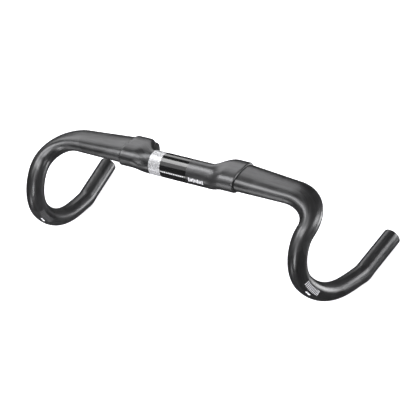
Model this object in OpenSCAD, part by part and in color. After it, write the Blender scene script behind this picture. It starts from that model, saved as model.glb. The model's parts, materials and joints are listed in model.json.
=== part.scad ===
// Drop handlebar in carbon composite, bonded together from three hollow mouldings.
// Millimetres, in riding position, with the origin at the centre of the stem clamp zone:
// +X to the right of the bar, +Y back towards the rider, +Z up.
// Everything on one side is built once, for +X, and mirrored for the other hand.

/* [Clamp zone] */
// Outer diameter of the stem clamp zone
clamp_d = 31.8; // [31:0.1:32]
// Distance from the centre to the foot of each shoulder, the length that stays round
clamp_half = 42; // [38:1:48]
// Wall of the centre moulding round its bore
clamp_wall = 2.4; // [2:0.1:3]

/* [Shoulders] */
// Distance from the centre to the mouth of each shoulder's socket
mouth_x = 86; // [84:1:92]
// Fore and aft width of a shoulder at its mouth
shoulder_w = 52.5; // [50:0.5:54]
// Height of a shoulder at its mouth
shoulder_h = 26.4; // [25.5:0.1:28]
// How far the lip of the mouth stands proud of the wing that goes into it
lip_step = 2.4; // [2:0.1:2.8]
// Length of the spigot that is glued into the socket
spigot_length = 18; // [12:1:19]

/* [Tops] */
// Distance from the centre to where each flattened top starts to bend forwards
bend_x = 157; // [150:1:165]
// Fore and aft width of the flattened top where it starts to bend
wing_w = 43; // [38:0.5:46]
// Height of the flattened top where it starts to bend
wing_h = 18.4; // [17:0.1:22]

/* [Drops] */
// Outer diameter of the round tube
tube_d = 23.8; // [23:0.1:24.2]
// Wall of the drop mouldings
tube_wall = 1.8; // [1.5:0.1:2.2]
// Centreline radius of the forward bend
bend_r = 43.7; // [40:0.1:48]
// Downward slope of the ramp in front of the bend, in degrees
ramp_slope = 9.7; // [6:0.1:13]
// Sideways lean of the drops, outwards at the bottom, in degrees
flare = 4.7; // [0:0.1:8]
// Sideways toe of the drops, outwards at the back, in degrees
toe_out = 5.4; // [0:0.1:8]
// Length of each straight bar end
end_length = 64.5; // [55:0.5:75]

/* [Markings] */
// Thickness of the films and printed marks
film = 0.04; // [0.03:0.005:0.045]
// Number of lines in each lever position scale
scale_lines = 11; // [5:1:13]

/* [Hidden] */
$fn = 96;

// sides of every lofted skin, and steps along its stretches
sides = 32;
shoulder_steps = 12;
top_steps = 5;
bend_steps = 12;
hook_steps = [3, 8, 5, 1, 2];

// roundness of a lofted section: 2 is an ellipse, more is squarer
round_section = 2;
wing_section = 2.8;

// a shoulder's mouth: its centre (Y, Z) behind and above the clamp axis, and its tilt, tail down
mouth_offset = [7.9, 2.3];
mouth_tilt = -12;
// the part of a shoulder's length over which it swells to full size
swell_part = 0.56;
// step inside the socket that the spigot stops against, and the glue's thickness
ledge = 1.2;
glue = 0.4;
// the wing's full section starts this far outside the mouth, and the glue fills half of the groove
groove = 0.4;
// where a skin of flat facets meets a true round tube, it stays this much inside the tube's wall
tuck = 0.02;
// a bar end's true tube starts this far past the last arc, and the skin runs as far again into its wall
seat = 0.5;

// the tops lean forwards and down a little as they go outwards, in degrees
top_sweep = -2.2;
top_fall = -0.7;
bend_tilt = -16.3;

// the hook: centreline radius and turn in degrees of each arc; the tight last one is the corner
// before the straight end, and ends level
hook_arcs = [[31, 27], [47, 74], [111.6, 46.8], [300, 6.5], [35, 25.7 - ramp_slope]];

clamp_r = clamp_d / 2;
tube_r = tube_d / 2;
bore_r = tube_r - tube_wall;
edge_chamfer = 0.5;

// markings on the clamp zone: their reach along X, and their middles round it (front is 180)
silver_x = [-clamp_half, -25];
gloss_x = [-25, 14.5];
rule_x = [-23, 12];
rule_round = 166;
block_x = [18.5, 41];
block_round = 173;

// markings on the hook, in degrees round the tube: 0 is the outside of the hook's bend, and
// more is further inboard. One print sits outboard on the right and inboard on the left.
scale_round = [[-92, -58], [38, 72]];
label_round = [[-43, -34], [20, 29]];

function unit(v) = v / norm(v);
function mix(a, b, t) = a + (b - a) * t;
function ease(t) = t * t * (3 - 2 * t);
// v turned by an angle about a unit axis
function turned(v, axis, angle) =
    v * cos(angle) + cross(axis, v) * sin(angle) + axis * (axis * v) * (1 - cos(angle));
function curve_power(v, e) = sign(v) * pow(abs(v), e);

// A frame is [position, heading, width direction]. The width direction is level when tilt is 0.
function level_across(heading) = unit(cross([0, 0, 1], heading));
function frame(position, heading, tilt) =
    [position, heading, turned(level_across(heading), heading, tilt)];

// One closed section of a skin: a superellipse of width w and height h in a frame's plane
function section(f, w, h, squareness) =
    let (high = cross(f[1], f[2]), e = 2 / squareness)
    [for (i = [0 : sides - 1])
        let (a = 360 * i / sides)
        f[0] + f[2] * (w / 2 * curve_power(cos(a), e)) + high * (h / 2 * curve_power(sin(a), e))];

// ---- centreline of a top and its forward bend ----

top_heading = [cos(top_sweep) * cos(top_fall), sin(top_sweep) * cos(top_fall), sin(top_fall)];
mouth_point = [mouth_x, mouth_offset[0], mouth_offset[1]];
bend_point = mouth_point + top_heading * ((bend_x - mouth_x) / top_heading[0]);
ramp_heading = [-sin(toe_out) * cos(ramp_slope), -cos(toe_out) * cos(ramp_slope), -sin(ramp_slope)];
bend_axis = unit(cross(top_heading, ramp_heading));
bend_angle = acos(top_heading * ramp_heading);
bend_centre = bend_point + cross(bend_axis, top_heading) * bend_r;
bend_start = frame(bend_point, top_heading, bend_tilt);
hook_axis = unit(cross(ramp_heading, [sin(flare), 0, -cos(flare)]));

function shoulder_frame(x, swell) =
    frame([x, mouth_offset[0] * swell, mouth_offset[1] * swell], [1, 0, 0], mouth_tilt * swell);
function top_frame(t) =
    frame(mix(mouth_point, bend_point, t), unit(mix([1, 0, 0], top_heading, t)), mix(mouth_tilt, bend_tilt, t));
function bend_frame(t) =
    [bend_centre + turned(bend_point - bend_centre, bend_axis, bend_angle * t),
     turned(top_heading, bend_axis, bend_angle * t),
     turned(bend_start[2], bend_axis, bend_angle * t)];

// a frame moved on round an arc of the hook, and the frame at some turn along arc i
function moved(f, r, turn) =
    let (centre = f[0] + cross(hook_axis, f[1]) * r)
    [centre + turned(f[0] - centre, hook_axis, turn), turned(f[1], hook_axis, turn),
     turned(f[2], hook_axis, turn)];
function hook_frame(i, turn) =
    moved(i == 0 ? bend_frame(1) : hook_frame(i - 1, hook_arcs[i - 1][1]), hook_arcs[i][0], turn);

// ---- sections, each inset from the outer surface by some depth ----

socket_w = shoulder_w - 2 * lip_step;
socket_h = shoulder_h - 2 * lip_step;

// a round ring just inside a true tube's wall: outside when the depth is 0, else at the bore
function tucked_r(r, depth) = depth == 0 ? r - tuck : (r - depth + tuck) / cos(180 / sides);
function shoulder_section(x, depth) =
    let (swell = pow(sin(90 * min(1, (x - clamp_half) / (mouth_x - clamp_half) / swell_part)), 2),
         foot = 2 * tucked_r(clamp_r, depth))
    section(shoulder_frame(x, swell),
            mix(foot, shoulder_w - 2 * depth, swell), mix(foot, shoulder_h - 2 * depth, swell),
            mix(round_section, wing_section, swell));
function socket_section(x, depth) =
    section(shoulder_frame(x, 1), socket_w - 2 * depth, socket_h - 2 * depth, wing_section);
function top_section(t, depth) =
    section(top_frame(t), mix(socket_w, wing_w, t) - 2 * depth, mix(socket_h, wing_h, t) - 2 * depth,
            wing_section);
function bend_section(t, depth) =
    let (s = ease(t), tube = 2 * tucked_r(tube_r, depth))
    section(bend_frame(t), mix(wing_w - 2 * depth, tube, s), mix(wing_h - 2 * depth, tube, s),
            mix(wing_section, round_section, s));

function tube_section(f, depth) =
    let (d = 2 * tucked_r(tube_r, depth)) section(f, d, d, round_section);
function hook_section(i, t, depth) = tube_section(hook_frame(i, hook_arcs[i][1] * t), depth);

// the frame some way along the straight bar end
function straight_frame(along) =
    let (last = len(hook_arcs) - 1, f = hook_frame(last, hook_arcs[last][1]))
    [f[0] + f[1] * along, f[1], f[2]];

// A closed skin through a loop of rings: out along one surface and back along the other
module skin(rings) {
    n = len(rings);
    polyhedron(
        points = [for (ring = rings) for (p = ring) p],
        faces = [for (i = [0 : n - 1]) for (j = [0 : sides - 1])
            [(i + 1) % n * sides + j, (i + 1) % n * sides + (j + 1) % sides,
             i * sides + (j + 1) % sides, i * sides + j]]);
}

// Copies a right-hand part to the left
module left_hand() {
    mirror([1, 0, 0]) children();
}

// ---- centre moulding ----

module round_tube(r, wall, length) {
    difference() {
        cylinder(r = r, h = length);
        translate([0, 0, -1]) cylinder(r = r - wall, h = length + 2);
    }
}

module shoulder() {
    stop_x = mouth_x - spigot_length;
    step = (mouth_x - clamp_half) / shoulder_steps;
    outside = [for (i = [0 : shoulder_steps]) shoulder_section(clamp_half + step * i, 0)];
    socket = [socket_section(mouth_x, 0), socket_section(stop_x, 0)];
    cavity_step = (stop_x - clamp_half) / shoulder_steps;
    cavity = [for (i = [shoulder_steps : -1 : 0])
        shoulder_section(clamp_half + cavity_step * i, mix(clamp_wall, lip_step + ledge, i / shoulder_steps))];
    skin(concat(outside, socket, cavity));
}

module centre_section() {
    color("#2b2c2e") union() {
        translate([-clamp_half, 0, 0]) rotate([0, 90, 0]) round_tube(clamp_r, clamp_wall, 2 * clamp_half);
        shoulder();
        left_hand() shoulder();
    }
}

// ---- drop moulding ----

// the spigot, the flattened top, the forward bend and the hook, as one hollow skin
module bent_tube() {
    last = len(hook_arcs) - 1;
    outside = concat(
        [socket_section(mouth_x - spigot_length, glue), socket_section(mouth_x + groove, glue)],
        [for (i = [0 : top_steps]) top_section(max(i / top_steps, 2 * groove / (bend_x - mouth_x)), 0)],
        [for (i = [1 : bend_steps]) bend_section(i / bend_steps, 0)],
        [for (i = [0 : last]) for (k = [1 : hook_steps[i]]) hook_section(i, k / hook_steps[i], 0)],
        [tube_section(straight_frame(2 * seat), 0)]);
    inside = concat(
        [tube_section(straight_frame(2 * seat), tube_wall)],
        [for (i = [last : -1 : 0]) for (k = [hook_steps[i] : -1 : 1])
            hook_section(i, k / hook_steps[i], tube_wall)],
        [for (i = [bend_steps : -1 : 0]) bend_section(i / bend_steps, tube_wall)],
        [for (i = [top_steps - 1 : -1 : 1]) top_section(i / top_steps, tube_wall)],
        [socket_section(mouth_x, glue + tube_wall), socket_section(mouth_x - spigot_length, glue + tube_wall)]);
    skin(concat(outside, inside));
}

// places children at a frame: heading along local Y, the inside of the hook's bend at local +X
module at_frame(f) {
    inward = cross(hook_axis, f[1]);
    multmatrix([for (k = [0 : 2]) [inward[k], f[1][k], -hook_axis[k], f[0][k]]]) children();
}

// the straight end, with a true bore for an end plug
module bar_end() {
    chamfer_y = end_length - edge_chamfer;
    rotate([-90, 0, 0]) difference() {
        union() {
            translate([0, 0, seat]) cylinder(r = tube_r, h = chamfer_y - seat);
            translate([0, 0, chamfer_y]) cylinder(r1 = tube_r, r2 = tube_r - edge_chamfer, h = edge_chamfer);
        }
        translate([0, 0, -1]) cylinder(r = bore_r, h = end_length + 2);
    }
}

module drop_right() {
    color("#303133") union() {
        bent_tube();
        at_frame(straight_frame(0)) bar_end();
    }
}

module drop_left() {
    left_hand() drop_right();
}

// ---- glue between spigot and socket ----

module bond_ring_right() {
    inner_end = mouth_x - spigot_length;
    outer_end = mouth_x + groove / 2;
    color("#17181a") skin([
        socket_section(inner_end, 0), socket_section(mouth_x, 0), socket_section(outer_end, 0),
        socket_section(outer_end, glue), socket_section(inner_end, glue)]);
}

module bond_ring_left() {
    left_hand() bond_ring_right();
}

// ---- films and printed marks ----

// a film round the clamp zone, or a patch of it, between two places along X, on a lower film or none
module clamp_film(x, from = 0, to = 360, under = 0) {
    translate([x[0], 0, 0]) rotate([90, 0, 90])
        rotate([0, 0, from]) rotate_extrude(angle = to - from)
            translate([clamp_r + under, 0]) square([film, x[1] - x[0]]);
}

module silver_band() {
    color("#d9dadb") clamp_film(silver_x);
}

module gloss_band() {
    color("#0b0b0c") clamp_film(gloss_x);
}

// a fine dashed rule on the gloss band, and a block of plain ticks beside it, to centre the stem by
module centring_scale() {
    dash = 1.6;
    dashes = 13;
    tick_w = 1.2;
    ticks = 10;
    dash_pitch = (rule_x[1] - rule_x[0]) / dashes;
    tick_pitch = (block_x[1] - block_x[0]) / ticks;
    color("#eeeeee") {
        for (i = [0 : dashes - 1]) {
            x = rule_x[0] + dash_pitch * i;
            clamp_film([x, x + dash], rule_round - 2, rule_round + 2, film);
        }
        for (i = [0 : ticks - 1]) {
            x = block_x[0] + tick_pitch * i;
            reach = i % 3 == 0 ? 11 : 8;
            clamp_film([x, x + tick_w], block_round - reach, block_round + reach);
        }
    }
}

// a film patch near the bottom of the hook: the way from the end of the second arc to its middle,
// along the centreline, its length, and its two edges round the tube
module hook_film(along, length, round_edges) {
    arc = along < 0 ? 1 : 2;
    r = hook_arcs[arc][0];
    per_degree = r * PI / 180;
    turn = along / per_degree + (arc == 1 ? hook_arcs[1][1] : 0);
    spread = round_edges[1] - round_edges[0];
    at_frame(hook_frame(arc, 0))
        translate([r, 0, 0]) rotate([0, 0, 180 - turn - length / 2 / per_degree])
            rotate_extrude(angle = length / per_degree)
                translate([r, 0]) rotate([0, 0, round_edges[0]]) intersection() {
                    difference() {
                        circle(r = tube_r + film);
                        circle(r = tube_r);
                    }
                    // the wedge between the two directions round the tube
                    polygon([[0, 0], [2 * tube_r, 0], 2 * tube_r * [cos(spread), sin(spread)]]);
                }
}

// a row of ticks across the tube, by which the brake lever is set
module lever_scale(round_edges) {
    first = -11;
    pitch = 3;
    color("#a9abad") for (i = [0 : scale_lines - 1])
        hook_film(first + pitch * i, 1.3, round_edges);
}

module lever_scale_right() {
    lever_scale(scale_round[0]);
}

module lever_scale_left() {
    left_hand() lever_scale(scale_round[1]);
}

// two plain bars beside the scale
module lever_label(round_edges) {
    color("#eeeeee") {
        hook_film(1.7, 3, round_edges);
        hook_film(7.2, 6, round_edges);
    }
}

module lever_label_right() {
    lever_label(label_round[0]);
}

module lever_label_left() {
    left_hand() lever_label(label_round[1]);
}

centre_section();
drop_left();
drop_right();
bond_ring_left();
bond_ring_right();
silver_band();
gloss_band();
centring_scale();
lever_scale_left();
lever_scale_right();
lever_label_left();
lever_label_right();
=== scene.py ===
# Drop handlebar in carbon composite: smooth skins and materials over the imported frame.
# Metres throughout: +X to the right of the bar, +Y back towards the rider, +Z up.
import json
import math

import bpy
import numpy as np
from mathutils import Matrix, Vector


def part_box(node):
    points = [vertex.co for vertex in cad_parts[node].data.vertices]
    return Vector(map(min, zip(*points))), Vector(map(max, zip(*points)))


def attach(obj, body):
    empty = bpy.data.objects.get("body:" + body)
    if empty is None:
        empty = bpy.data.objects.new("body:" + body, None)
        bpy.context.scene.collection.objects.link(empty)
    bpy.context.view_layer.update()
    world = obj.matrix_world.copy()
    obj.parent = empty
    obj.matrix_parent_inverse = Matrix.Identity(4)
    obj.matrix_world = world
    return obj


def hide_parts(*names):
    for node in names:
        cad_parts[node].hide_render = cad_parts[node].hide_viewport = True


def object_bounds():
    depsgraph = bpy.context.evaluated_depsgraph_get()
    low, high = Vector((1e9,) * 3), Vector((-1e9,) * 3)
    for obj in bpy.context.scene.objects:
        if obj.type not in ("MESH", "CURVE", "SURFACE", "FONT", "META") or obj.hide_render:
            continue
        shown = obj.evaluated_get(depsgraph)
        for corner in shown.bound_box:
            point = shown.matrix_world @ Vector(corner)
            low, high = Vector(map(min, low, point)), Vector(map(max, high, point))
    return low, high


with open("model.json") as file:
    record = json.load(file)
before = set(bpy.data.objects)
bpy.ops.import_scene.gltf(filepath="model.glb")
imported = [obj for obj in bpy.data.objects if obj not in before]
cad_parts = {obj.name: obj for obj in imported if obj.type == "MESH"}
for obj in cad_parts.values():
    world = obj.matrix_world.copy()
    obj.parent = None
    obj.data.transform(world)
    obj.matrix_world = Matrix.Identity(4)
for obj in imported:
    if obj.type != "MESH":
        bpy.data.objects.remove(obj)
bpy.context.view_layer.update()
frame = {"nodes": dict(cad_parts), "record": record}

MM = 0.001
MOUNTS = {mount["name"]: mount for mount in frame["record"]["mounts"]}


# ---- driving dimensions, from the frame where it has them ----

CLAMP_R = MOUNTS["stem_clamp"]["dims"]["r_mm"] * MM
CLAMP_HALF = MOUNTS["stem_clamp"]["dims"]["length_mm"] * MM / 2
TUBE_R = MOUNTS["lever_clamp_right"]["dims"]["r_mm"] * MM
BORE_R = MOUNTS["bar_end_right"]["dims"]["r_mm"] * MM
MOUTH_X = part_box("centre_section")[1][0]
SPIGOT_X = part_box("bond_ring_right")[0][0]
END_LENGTH = 64.5 * MM
TUBE_WALL = TUBE_R - BORE_R
CLAMP_WALL = 2.4 * MM

SHOULDER_W = 52.5 * MM
SHOULDER_H = 26.4 * MM
LIP_STEP = 2.4 * MM
LIP_ROUND = 2.0 * MM
LEDGE = 1.2 * MM
GLUE = 0.4 * MM
GROOVE = 0.4 * MM
SOCKET_EDGE = 0.4 * MM
SOCKET_START = 2 * MM
END_EDGE = 0.5 * MM
MOUTH_Y, MOUTH_Z = 7.9 * MM, 2.3 * MM
MOUTH_TILT = -12
SWELL_PART = 0.56

BEND_X = 157 * MM
BEND_R = 43.7 * MM
BEND_TILT = -16.3
WING_W = 43 * MM
WING_H = 18.4 * MM
TOP_SWEEP, TOP_FALL = -2.2, -0.7
RAMP_SLOPE, FLARE, TOE_OUT = 9.7, 4.7, 5.4
# centreline radius and turn in degrees of each arc of the hook; the last is the corner before the
# straight end, which swells a little on its outer side
HOOK_ARCS = [(31 * MM, 27), (47 * MM, 74), (111.6 * MM, 46.8), (300 * MM, 6.5),
             (35 * MM, 25.7 - RAMP_SLOPE)]
CORNER_SWELL = 1.2 * MM
CORNER_REACH = 8 * MM

# roundness of a lofted section: 2 is an ellipse, more is squarer
ROUND, WING = 2.0, 2.8
SOCKET_W = SHOULDER_W - 2 * LIP_STEP
SOCKET_H = SHOULDER_H - 2 * LIP_STEP

SIDES = 96
SEAM = -90


# ---- frames and sections: a frame is (position, heading, width direction) ----

def unit(v):
    return v / np.linalg.norm(v)


def mix(a, b, t):
    return a + (b - a) * t


def ease(t):
    return t * t * (3 - 2 * t)


def turned(v, axis, degrees):
    """v turned about a unit axis."""
    a = math.radians(degrees)
    return v * math.cos(a) + np.cross(axis, v) * math.sin(a) + axis * (axis @ v) * (1 - math.cos(a))


def heading_of(sweep, fall):
    sweep, fall = math.radians(sweep), math.radians(fall)
    return np.array([math.cos(sweep) * math.cos(fall), math.sin(sweep) * math.cos(fall), math.sin(fall)])


def level_frame(position, heading, tilt):
    """A frame whose width direction is level when tilt is 0."""
    across = unit(np.cross([0, 0, 1], heading))
    return np.array(position), heading, turned(across, heading, tilt)


def section(place, width, height, squareness):
    """One closed ring of SIDES points, a superellipse that starts at the underside."""
    position, heading, wide = place
    high = np.cross(heading, wide)
    a = np.radians(SEAM + 360 * np.arange(SIDES) / SIDES)
    e = 2 / squareness
    u = width / 2 * np.sign(np.cos(a)) * np.abs(np.cos(a)) ** e
    v = height / 2 * np.sign(np.sin(a)) * np.abs(np.sin(a)) ** e
    return position + np.outer(u, wide) + np.outer(v, high)


TOP_HEADING = heading_of(TOP_SWEEP, TOP_FALL)
MOUTH_POINT = np.array([MOUTH_X, MOUTH_Y, MOUTH_Z])
BEND_POINT = MOUTH_POINT + TOP_HEADING * ((BEND_X - MOUTH_X) / TOP_HEADING[0])
RAMP_HEADING = heading_of(-90 - TOE_OUT, -RAMP_SLOPE)
BEND_AXIS = unit(np.cross(TOP_HEADING, RAMP_HEADING))
BEND_ANGLE = math.degrees(math.acos(TOP_HEADING @ RAMP_HEADING))
BEND_CENTRE = BEND_POINT + np.cross(BEND_AXIS, TOP_HEADING) * BEND_R
LEAN = math.radians(FLARE)
HOOK_AXIS = unit(np.cross(RAMP_HEADING, [math.sin(LEAN), 0, -math.cos(LEAN)]))


def shoulder_place(x, swell):
    return level_frame([x, MOUTH_Y * swell, MOUTH_Z * swell], np.array([1.0, 0, 0]), MOUTH_TILT * swell)


def top_place(t):
    heading = unit(mix(np.array([1.0, 0, 0]), TOP_HEADING, t))
    return level_frame(mix(MOUTH_POINT, BEND_POINT, t), heading, mix(MOUTH_TILT, BEND_TILT, t))


def bend_place(t):
    angle = BEND_ANGLE * t
    wide = level_frame(BEND_POINT, TOP_HEADING, BEND_TILT)[2]
    return (BEND_CENTRE + turned(BEND_POINT - BEND_CENTRE, BEND_AXIS, angle),
            turned(TOP_HEADING, BEND_AXIS, angle), turned(wide, BEND_AXIS, angle))


def hook_place(arc, turn):
    """The frame after some turn along one arc of the hook."""
    place = bend_place(1) if arc == 0 else hook_place(arc - 1, HOOK_ARCS[arc - 1][1])
    position, heading, wide = place
    centre = position + np.cross(HOOK_AXIS, heading) * HOOK_ARCS[arc][0]
    return (centre + turned(position - centre, HOOK_AXIS, turn), turned(heading, HOOK_AXIS, turn),
            turned(wide, HOOK_AXIS, turn))


def straight_place(along):
    position, heading, wide = hook_place(len(HOOK_ARCS) - 1, HOOK_ARCS[-1][1])
    return position + heading * along, heading, wide


def shoulder_ring(x, depth, far_x=MOUTH_X):
    """A ring of the shoulder, inset by depth, swelling from the round clamp zone."""
    part = min(1, max(0, x - CLAMP_HALF) / (far_x - CLAMP_HALF) / SWELL_PART)
    swell = math.sin(math.pi / 2 * part) ** 2
    foot = 2 * (CLAMP_R - depth)
    return section(shoulder_place(x, swell), mix(foot, SHOULDER_W - 2 * depth, swell),
                   mix(foot, SHOULDER_H - 2 * depth, swell), mix(ROUND, WING, swell))


def socket_ring(x, depth):
    return section(shoulder_place(x, 1), SOCKET_W - 2 * depth, SOCKET_H - 2 * depth, WING)


def top_ring(t, depth):
    return section(top_place(t), mix(SOCKET_W, WING_W, t) - 2 * depth,
                   mix(SOCKET_H, WING_H, t) - 2 * depth, WING)


def bend_ring(t, depth):
    s, tube = ease(t), 2 * (TUBE_R - depth)
    return section(bend_place(t), mix(WING_W - 2 * depth, tube, s), mix(WING_H - 2 * depth, tube, s),
                   mix(WING, ROUND, s))


def tube_ring(place, depth):
    return section(place, 2 * (TUBE_R - depth), 2 * (TUBE_R - depth), ROUND)


def arc_length(arc, turn):
    return HOOK_ARCS[arc][0] * math.radians(turn)


CORNER_HALF = arc_length(-1, HOOK_ARCS[-1][1]) / 2


def past_corner(arc, turn):
    """Way along the tube from the middle of the corner to a place on the hook, negative before it."""
    following = sum(arc_length(i, HOOK_ARCS[i][1]) for i in range(arc + 1, len(HOOK_ARCS)))
    return CORNER_HALF - following - arc_length(arc, HOOK_ARCS[arc][1] - turn)


def swollen_ring(place, past):
    """A round ring of the outside, swollen outwards if it is near the corner."""
    ring = tube_ring(place, 0)
    position, heading, _ = place
    away = (ring - position) / TUBE_R
    side = np.clip(away @ np.cross(heading, HOOK_AXIS), 0, 1) ** 2
    bulge = CORNER_SWELL * math.exp(-(past / CORNER_REACH) ** 2)
    return ring + away * (side * bulge)[:, None]


# ---- meshes ----

def mirrored(rings):
    """The same skin for the other hand, its faces still outwards."""
    return [ring[::-1] * (-1, 1, 1) for ring in rings]


def mesh_piece(name, vertices, faces, uvs, materials, indices):
    """A smooth mesh that rides on the bar; indices say which material each face has."""
    mesh = bpy.data.meshes.new(name)
    mesh.from_pydata([tuple(v) for v in vertices], [], faces)
    layer = mesh.uv_layers.new(name="Fibre")
    layer.data.foreach_set("uv", np.asarray(uvs, float).ravel())
    for material in materials:
        mesh.materials.append(material)
    mesh.polygons.foreach_set("material_index", indices)
    mesh.shade_smooth()
    mesh.set_sharp_from_angle(angle=math.radians(40))
    mesh.update()
    piece = bpy.data.objects.new(name, mesh)
    bpy.context.collection.objects.link(piece)
    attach(piece, "root")
    return piece


def skin(name, rings, materials, inside_from, offset=0.0):
    """A closed skin through a loop of rings. Its UVs are metres along and round, so fibres follow it.

    Faces from ring number inside_from on get the second material; offset moves the UVs along.
    """
    count, sides = len(rings), len(rings[0])
    middles = [ring.mean(axis=0) for ring in rings] + [rings[0].mean(axis=0)]
    steps = [max(np.linalg.norm(b - a), 1e-5) for a, b in zip(middles[:-1], middles[1:])]
    along = offset + np.concatenate([[0], np.cumsum(steps)])
    faces, uvs, indices = [], [], []
    girths = []
    for ring in rings + [rings[0]]:
        chords = np.linalg.norm(np.roll(ring, -1, axis=0) - ring, axis=1)
        girths.append(np.concatenate([[0], np.cumsum(chords)]) - chords.sum() / 2)
    for i in range(count):
        here, there = i * sides, (i + 1) % count * sides
        for j in range(sides):
            k = (j + 1) % sides
            faces.append((here + j, here + k, there + k, there + j))
            uvs += [(along[i], girths[i][j]), (along[i], girths[i][j + 1]),
                    (along[i + 1], girths[i + 1][j + 1]), (along[i + 1], girths[i + 1][j])]
            indices.append(0 if i < inside_from else 1)
    return mesh_piece(name, np.concatenate(rings), faces, uvs, materials, indices)


def rounded_steps(radius, count=6):
    """Way along and depth of a quarter-round edge, as pairs from its start to its face."""
    angles = [math.pi / 2 * i / count for i in range(count + 1)]
    return [(radius * math.sin(a), radius * (1 - math.cos(a))) for a in angles]


def shoulder_rings():
    """Outside from the clamp zone out to the lip, round the lip, then back in through the socket."""
    outside = [shoulder_ring(x, 0) for x in np.linspace(CLAMP_HALF, MOUTH_X - LIP_ROUND, 40)]
    lip = [shoulder_ring(MOUTH_X - LIP_ROUND + along, depth)
           for along, depth in rounded_steps(LIP_ROUND)[1:]]
    face = [socket_ring(MOUTH_X - SOCKET_EDGE + along, depth - SOCKET_EDGE)
            for along, depth in reversed(rounded_steps(SOCKET_EDGE, 4))]
    socket = [socket_ring(x, 0) for x in np.linspace(MOUTH_X - SOCKET_START, SPIGOT_X, 6)]
    walls = [mix(CLAMP_WALL, LIP_STEP + LEDGE, (x - CLAMP_HALF) / (SPIGOT_X - CLAMP_HALF))
             for x in np.linspace(SPIGOT_X, CLAMP_HALF, 12)]
    cavity = [shoulder_ring(x, wall, SPIGOT_X)
              for x, wall in zip(np.linspace(SPIGOT_X, CLAMP_HALF, 12), walls)]
    return outside + lip + face, socket + cavity


def centre_rings():
    """The centre moulding: outside from the left mouth to the right one, then back through the bore."""
    outside, inside = shoulder_rings()
    middle = [shoulder_ring(x, 0) for x in np.linspace(-CLAMP_HALF, CLAMP_HALF, 15)[1:-1]]
    left_out = [ring * (-1, 1, 1) for ring in reversed(outside)]
    left_in = [ring * (-1, 1, 1) for ring in reversed(inside)]
    return left_out + middle + outside, inside + left_in


def drop_rings():
    """The drop moulding: outside from the spigot to the bar end, then back through the bore."""
    hook_steps = [14, 36, 26, 8, 8]
    t_groove = 2 * GROOVE / (BEND_X - MOUTH_X)
    outside = [socket_ring(x, GLUE) for x in (SPIGOT_X, MOUTH_X - SOCKET_START, MOUTH_X + GROOVE)]
    outside += [top_ring(t, 0) for t in np.linspace(t_groove, 1, 26)]
    outside += [bend_ring(i / 44, 0) for i in range(1, 45)]
    for arc, steps in enumerate(hook_steps):
        turns = [HOOK_ARCS[arc][1] * k / steps for k in range(1, steps + 1)]
        outside += [swollen_ring(hook_place(arc, turn), past_corner(arc, turn)) for turn in turns]
    outside += [swollen_ring(straight_place(along), CORNER_HALF + along)
                for along in np.linspace(0, END_LENGTH, 21)[1:-1]]
    outside += [tube_ring(straight_place(END_LENGTH - END_EDGE + along), depth)
                for along, depth in rounded_steps(END_EDGE)]
    inside = [tube_ring(straight_place(END_LENGTH - END_EDGE + along), TUBE_WALL - depth)
              for along, depth in reversed(rounded_steps(END_EDGE, 4))]
    inside += [tube_ring(straight_place(END_LENGTH * k / 4), TUBE_WALL) for k in range(3, 0, -1)]
    for arc in reversed(range(len(HOOK_ARCS))):
        steps = hook_steps[arc] // 2
        inside += [tube_ring(hook_place(arc, HOOK_ARCS[arc][1] * k / steps), TUBE_WALL)
                   for k in range(steps, 0, -1)]
    inside += [bend_ring(i / 20, TUBE_WALL) for i in range(20, -1, -1)]
    inside += [top_ring(t, TUBE_WALL) for t in np.linspace(0.9, 0.1, 5)]
    inside += [socket_ring(MOUTH_X, GLUE + TUBE_WALL), socket_ring(SPIGOT_X, GLUE + TUBE_WALL)]
    return outside, inside


# ---- materials ----

class Shader:
    """A procedural material under construction: its node tree, shader and fibre coordinates."""

    def __init__(self, name, **values):
        self.material = bpy.data.materials.new(name)
        self.material.use_nodes = True
        self.nodes = self.material.node_tree.nodes
        self.links = self.material.node_tree.links
        self.bsdf = self.nodes["Principled BSDF"]
        for socket, value in values.items():
            self.bsdf.inputs[socket.replace("_", " ")].default_value = value

    def node(self, kind, inputs=None, **settings):
        node = self.nodes.new("ShaderNode" + kind)
        for key, value in settings.items():
            setattr(node, key, value)
        for key, value in (inputs or {}).items():
            if isinstance(value, bpy.types.NodeSocket):
                self.links.new(value, node.inputs[key])
            else:
                node.inputs[key].default_value = value
        return node

    def into(self, socket, value):
        self.links.new(value, self.bsdf.inputs[socket])

    def fibre(self, scale, turn=0.0, place=(0, 0, 0)):
        """Metres along and round the surface, turned, scaled and shifted."""
        uv = self.node("UVMap", uv_map="Fibre").outputs[0]
        turned_uv = self.node("Mapping", {"Vector": uv, "Rotation": (0, 0, math.radians(turn)),
                                          "Location": place}).outputs[0]
        return self.node("Mapping", {"Vector": turned_uv, "Scale": scale}).outputs[0]

    def space(self, scale):
        """Places in the object's own space, scaled."""
        spot = self.node("TexCoord").outputs["Object"]
        return self.node("Mapping", {"Vector": spot, "Scale": (scale, scale, scale)}).outputs[0]

    def noise(self, vector, detail=3.0):
        return self.node("TexNoise", {"Vector": vector, "Scale": 1.0, "Detail": detail,
                                      "Roughness": 0.55}).outputs["Fac"]

    def ranged(self, value, low, high, from_low=0.0, from_high=1.0):
        return self.node("MapRange", {"Value": value, "From Min": from_low, "From Max": from_high,
                                      "To Min": low, "To Max": high}).outputs[0]

    def math(self, operation, a, b):
        return self.node("Math", {0: a, 1: b}, operation=operation).outputs[0]

    def blend(self, amount, low, high):
        """A grey between two greys."""
        node = self.node("Mix", data_type="RGBA")
        self.links.new(amount, node.inputs["Factor"])
        node.inputs["A"].default_value = grey(low)
        node.inputs["B"].default_value = grey(high)
        return node.outputs["Result"]

    def bump(self, height, strength, distance, under=None):
        inputs = {"Height": height, "Strength": strength, "Distance": distance}
        if under is not None:
            inputs["Normal"] = under
        return self.node("Bump", inputs).outputs[0]


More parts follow.
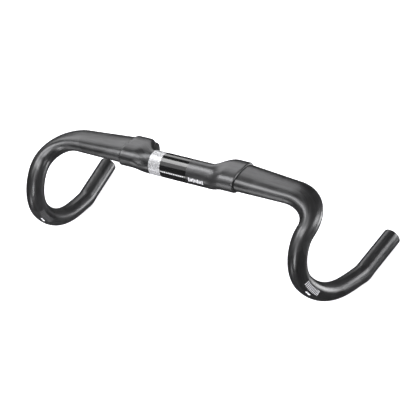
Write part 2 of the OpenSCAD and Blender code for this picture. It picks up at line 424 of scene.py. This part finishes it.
def grey(value):
    """A very slightly cool grey."""
    return value, value, value * 1.03, 1


def carbon(name, dark, light, seed):
    """Satin lacquer over unidirectional plies: streaks along the fibres, and patches where plies meet."""
    s = Shader(name, IOR=1.52, Metallic=0.8, Coat_Weight=0.15, Coat_Roughness=0.3, Anisotropic=0.3)
    place = (seed * 0.37, seed * 0.11, 0)
    streaks = s.noise(s.fibre((60, 1500, 1), place=place), detail=4)
    tows = s.noise(s.fibre((14, 260, 1), place=place), detail=2)
    plies = s.node("TexVoronoi", {"Vector": s.fibre((24, 34, 1), turn=32, place=place), "Scale": 1.0,
                                  "Randomness": 0.9}, distance="CHEBYCHEV").outputs["Color"]
    ply = s.node("SeparateColor", {"Color": plies}).outputs[0]
    clouds = s.noise(s.space(28), detail=3)
    tone = s.math("ADD", s.math("MULTIPLY", streaks, 0.35), s.math("MULTIPLY", tows, 0.3))
    tone = s.math("ADD", tone, s.math("MULTIPLY", ply, 0.2))
    tone = s.math("ADD", tone, s.math("MULTIPLY", clouds, 0.25))
    s.into("Base Color", s.blend(s.ranged(tone, 0, 1, 0.3, 0.75), dark, light))
    s.into("Roughness", s.ranged(tone, 0.26, 0.38, 0.3, 0.75))
    under = s.bump(s.noise(s.space(90), detail=2), 0.12, 0.0004)
    s.into("Normal", s.bump(streaks, 0.2, 0.00008, under))
    s.into("Tangent", s.node("Tangent", direction_type="UV_MAP", uv_map="Fibre").outputs[0])
    return s.material


def raw_resin(name):
    """The rough inner face of a moulding, where the bladder pressed wrinkles into the resin."""
    s = Shader(name, IOR=1.5)
    wrinkles = s.noise(s.fibre((140, 420, 1)), detail=5)
    s.into("Base Color", s.blend(wrinkles, 0.008, 0.03))
    s.into("Roughness", s.ranged(wrinkles, 0.45, 0.7))
    s.into("Normal", s.bump(wrinkles, 0.5, 0.0003))
    return s.material


def silver_film():
    """Bright brushed metallic film with a fine grey speckle."""
    s = Shader("silver_film", Metallic=0.45, Anisotropic=0.4)
    brushing = s.noise(s.space(500), detail=2)
    speckle = s.noise(s.space(1100), detail=2)
    both = s.math("ADD", s.math("MULTIPLY", brushing, 0.4), s.math("MULTIPLY", speckle, 0.6))
    s.into("Base Color", s.blend(s.ranged(both, 0, 1, 0.38, 0.62), 0.3, 0.95))
    s.into("Roughness", s.ranged(both, 0.28, 0.5, 0.3, 0.7))
    s.into("Normal", s.bump(speckle, 0.25, 0.00006))
    return s.material


def gloss_film():
    """Gloss black film with hairline scuffs."""
    s = Shader("gloss_film", IOR=1.5, Coat_Weight=0.6, Coat_Roughness=0.05)
    scuffs = s.noise(s.space(900), detail=4)
    s.into("Base Color", s.blend(scuffs, 0.006, 0.014))
    s.into("Roughness", s.ranged(scuffs, 0.08, 0.2))
    s.into("Normal", s.bump(s.noise(s.space(120), detail=2), 0.06, 0.0003))
    return s.material


def print_ink(name, low, high):
    """Printed ink, a little uneven and worn; its low and high greys also carry painted light and shade
    for the lever scales.
    """
    s = Shader(name, IOR=1.48)
    wear = s.noise(s.space(1500), detail=4)
    s.into("Base Color", s.blend(s.ranged(wear, 0, 1, 0.3, 0.6), low, high))
    s.into("Roughness", s.ranged(wear, 0.4, 0.6))
    s.into("Normal", s.bump(wear, 0.15, 0.00005))
    return s.material


def epoxy():
    """Black structural epoxy squeezed out at the joint."""
    s = Shader("epoxy", IOR=1.5)
    lumps = s.noise(s.space(500), detail=3)
    s.into("Base Color", s.blend(lumps, 0.01, 0.025))
    s.into("Roughness", s.ranged(lumps, 0.35, 0.6))
    s.into("Normal", s.bump(lumps, 0.4, 0.0002))
    return s.material


def paint_node(name, material):
    """Gives a CAD node that keeps its shape its finished material."""
    node = frame["nodes"][name]
    node.data.materials.clear()
    node.data.materials.append(material)


# ---- pieces ----

def build_centre():
    outside, inside = centre_rings()
    piece = skin("centre_moulding", outside + inside,
                 [carbon("carbon_centre", 0.04, 0.15, 1), raw_resin("resin_centre")], len(outside) - 1)
    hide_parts("centre_section")


def build_drops():
    outside, inside = drop_rings()
    inner = raw_resin("resin_drop")
    for side, seed in (("right", 2), ("left", 5)):
        rings = outside + inside
        if side == "left":
            rings = mirrored(rings)
        piece = skin("drop_moulding_" + side, rings, [carbon("carbon_" + side, 0.04, 0.15, seed), inner],
                     len(outside) - 1, offset=seed)
        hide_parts("drop_" + side)


def paint_nodes():
    white = print_ink("white_print", 0.9, 1.0)
    # the two lever scales are one print in a lit and a shaded copy: the right one, light grey, is partly
    # a painted highlight, and the left one, near black, is painted shade
    prints = {"right": print_ink("grey_print", 0.6, 0.8), "left": print_ink("print_painted_shade", 0.05, 0.14)}
    glue = epoxy()
    paint_node("silver_band", silver_film())
    paint_node("gloss_band", gloss_film())
    paint_node("centring_scale", white)
    for side in ("left", "right"):
        paint_node("bond_ring_" + side, glue)
        paint_node("lever_scale_" + side, prints[side])
        paint_node("lever_label_" + side, white)


# ---- camera, light and floor ----

def build_camera():
    azimuth, elevation, roll = math.radians(42.66), math.radians(42.67), math.radians(-17.37)
    distance = 2.049
    target = Vector((0.0238, 0, -0.0657))
    back = Vector((math.sin(azimuth) * math.cos(elevation), -math.cos(azimuth) * math.cos(elevation),
                   math.sin(elevation)))
    level_right = Vector((math.cos(azimuth), math.sin(azimuth), 0))
    level_up = back.cross(level_right)
    right = level_right * math.cos(roll) + level_up * math.sin(roll)
    up = level_up * math.cos(roll) - level_right * math.sin(roll)
    data = bpy.data.cameras.new("camera")
    data.sensor_width = 36
    data.lens = 137.6
    camera = bpy.data.objects.new("camera", data)
    bpy.context.collection.objects.link(camera)
    camera.matrix_world = Matrix.Translation(target + back * distance) @ Matrix(
        (right, up, back)).transposed().to_4x4()
    bpy.context.scene.camera = camera


# name, azimuth (0 in front, 90 to the right), elevation, size and power of each soft light
SOFTBOXES = [("overhead_left", -80, 78, (1.0, 1.0), 8), ("overhead_right", 60, 75, (0.9, 0.9), 10),
             ("front_left", -50, 45, (0.6, 0.8), 2), ("left", -92, 58, (0.8, 0.35), 5.5),
             ("left_rear", -140, 22, (1.2, 0.6), 5.2), ("front", 0, 42, (0.4, 0.8), 2),
             ("front_low", 5, 10, (0.35, 0.8), 7), ("right_rear", 125, 10, (0.5, 0.8), 7.5),
             ("bounce_right", 140, -26, (0.6, 0.5), 7), ("bounce_front", -28, -18, (0.4, 0.4), 2)]
LIGHT_DISTANCE = 1.6
WORLD_LIGHT = 0.03
FLOOR_GLOW = 1.08
DOME_R = 14


def softbox(name, azimuth, elevation, size, power):
    """A soft rectangular light round the bar, which looks at its middle."""
    azimuth, elevation = math.radians(azimuth), math.radians(elevation)
    outwards = Vector((math.sin(azimuth) * math.cos(elevation), -math.cos(azimuth) * math.cos(elevation),
                       math.sin(elevation)))
    data = bpy.data.lights.new(name, "AREA")
    data.shape = "RECTANGLE"
    data.size, data.size_y = size
    data.energy = power
    light = bpy.data.objects.new(name, data)
    light.location = outwards * LIGHT_DISTANCE
    light.rotation_euler = (-outwards).to_track_quat("-Z", "Y").to_euler()
    bpy.context.collection.objects.link(light)


def backdrop():
    """A white dome far round the studio, seen past the floor's edge; it neither lights nor mirrors."""
    bpy.ops.mesh.primitive_uv_sphere_add(radius=DOME_R, segments=64, ring_count=32)
    dome = bpy.context.object
    dome.name = "backdrop"
    s = Shader("backdrop", Roughness=0.9, Emission_Strength=1.2)
    tint = s.blend(s.noise(s.space(0.5)), 0.94, 0.96)
    s.into("Base Color", tint)
    s.into("Emission Color", tint)
    dome.data.materials.append(s.material)
    dome.visible_glossy = False
    dome.visible_diffuse = False
    dome.visible_shadow = False
    return dome


def build_studio():
    world = bpy.data.worlds.new("studio")
    world.use_nodes = True
    world.node_tree.nodes["Background"].inputs["Color"].default_value = (1, 1, 1, 1)
    world.node_tree.nodes["Background"].inputs["Strength"].default_value = WORLD_LIGHT
    bpy.context.scene.world = world
    bpy.context.scene.view_settings.view_transform = "Standard"
    for name, azimuth, elevation, size, power in SOFTBOXES:
        softbox(name, azimuth, elevation, size, power)
    bpy.ops.mesh.primitive_plane_add(size=8, location=(0, 0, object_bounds()[0][2]))
    floor = bpy.context.object
    floor.name = "floor"
    s = Shader("floor", Roughness=0.9, Emission_Strength=FLOOR_GLOW)
    tint = s.blend(s.noise(s.space(3)), 0.86, 0.9)
    s.into("Base Color", tint)
    s.into("Emission Color", tint)
    floor.data.materials.append(s.material)
    # the bar stands out dark below, so the floor doesn't mirror in it, but it lights the prints;
    # the two bounce lights below it stand for its patches of reflected light
    floor.visible_glossy = False
    floor.visible_shadow = False
    backdrop()


build_camera()
build_centre()
build_drops()
paint_nodes()
build_studio()
